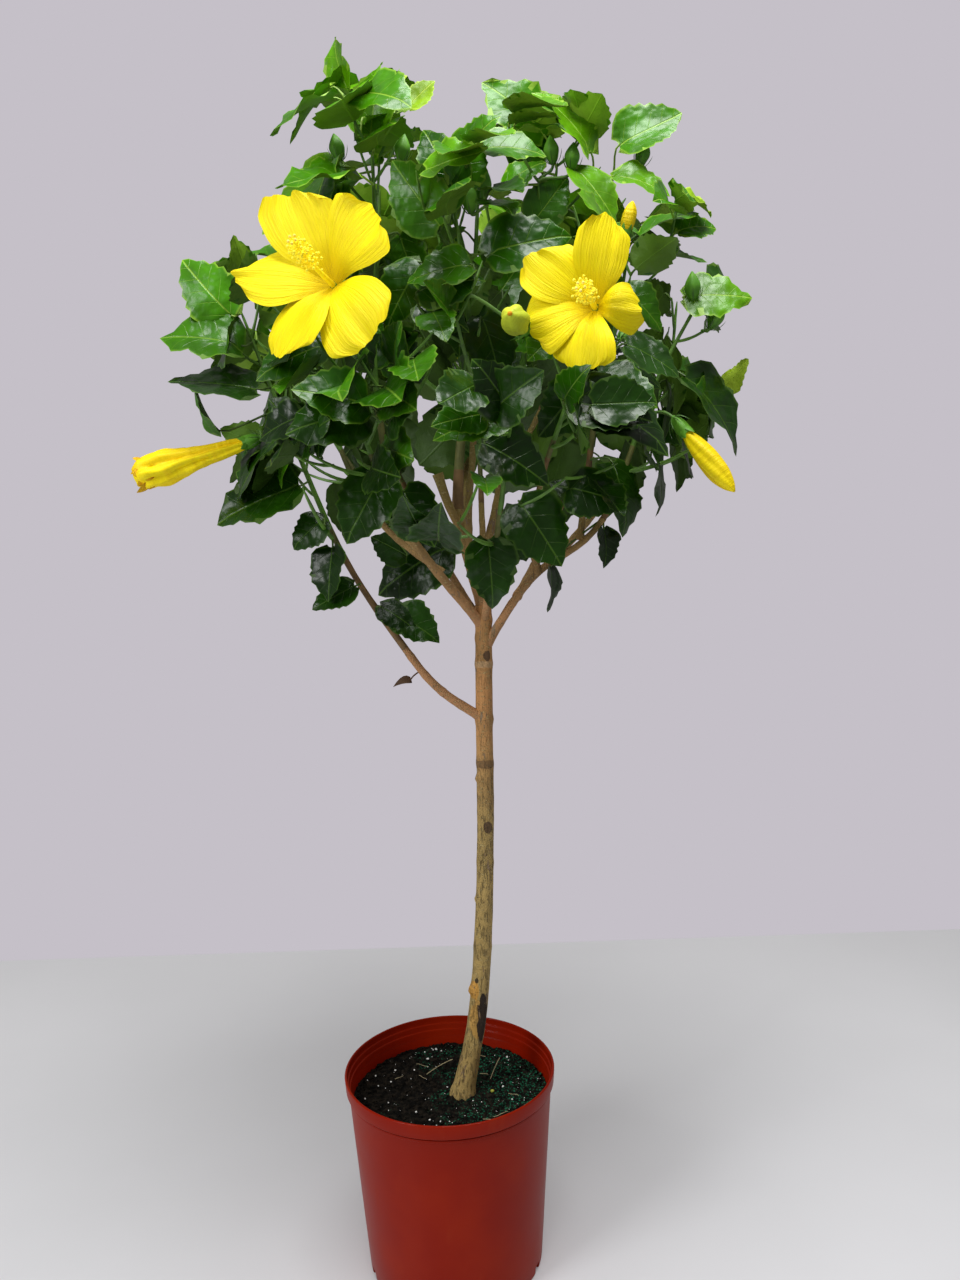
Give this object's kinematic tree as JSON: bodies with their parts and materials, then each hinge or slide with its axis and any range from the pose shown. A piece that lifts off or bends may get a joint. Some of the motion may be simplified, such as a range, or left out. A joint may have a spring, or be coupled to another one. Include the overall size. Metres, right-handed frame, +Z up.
{
  "type": "potted standard hibiscus shrub",
  "caption": "Flowering shrub grown as a small tree: bare leaning trunk, round leafy head with yellow blossom and buds, in a tapered round nursery pot.",
  "frame": {"origin": "centre of the pot's flat underside, on the surface it stands on", "axes": "+Z up, +X to the right seen from the front, +Y towards the back; the low bare bough leaves to -X"},
  "size_m": [0.6236, 0.5037, 1.3293],
  "materials": {
    "pot": "satin brick-red moulded plastic",
    "soil": "damp bark and peat mix with white grit",
    "bark": "matt grey-tan bark with fine cracks",
    "young_bark": "smooth orange-brown young bark",
    "foliage": "glossy green leaves, matt below, with yellow petals"
  },
  "bodies": {
    "root": {"pot": "pot", "soil": "soil", "trunk": "bark", "leader_stub": "young_bark", "bough_low_left": "young_bark", "bough_top_left": "young_bark", "bough_centre": "young_bark", "bough_front": "young_bark", "bough_top_right": "young_bark", "bough_right": "young_bark", "bough_front_right": "young_bark", "bough_front_left": "young_bark", "bough_left_mid": "young_bark", "bough_right_mid": "young_bark", "bough_low_front": "young_bark", "bough_back_left": "young_bark", "bough_back": "young_bark", "bough_back_right": "young_bark", "bough_back_top": "young_bark", "bough_side_right": "young_bark", "bough_side_left": "young_bark", "bough_top_outer": "young_bark", "foliage_low_left": "foliage", "foliage_top_left": "foliage", "foliage_centre": "foliage", "foliage_front": "foliage", "foliage_top_right": "foliage", "foliage_right": "foliage", "foliage_front_right": "foliage", "foliage_front_left": "foliage", "foliage_left_mid": "foliage", "foliage_right_mid": "foliage", "foliage_low_front": "foliage", "foliage_back_left": "foliage", "foliage_back": "foliage", "foliage_back_right": "foliage", "foliage_back_top": "foliage", "foliage_side_right": "foliage", "foliage_side_left": "foliage", "foliage_top_outer": "foliage"}
  },
  "joints": []
}
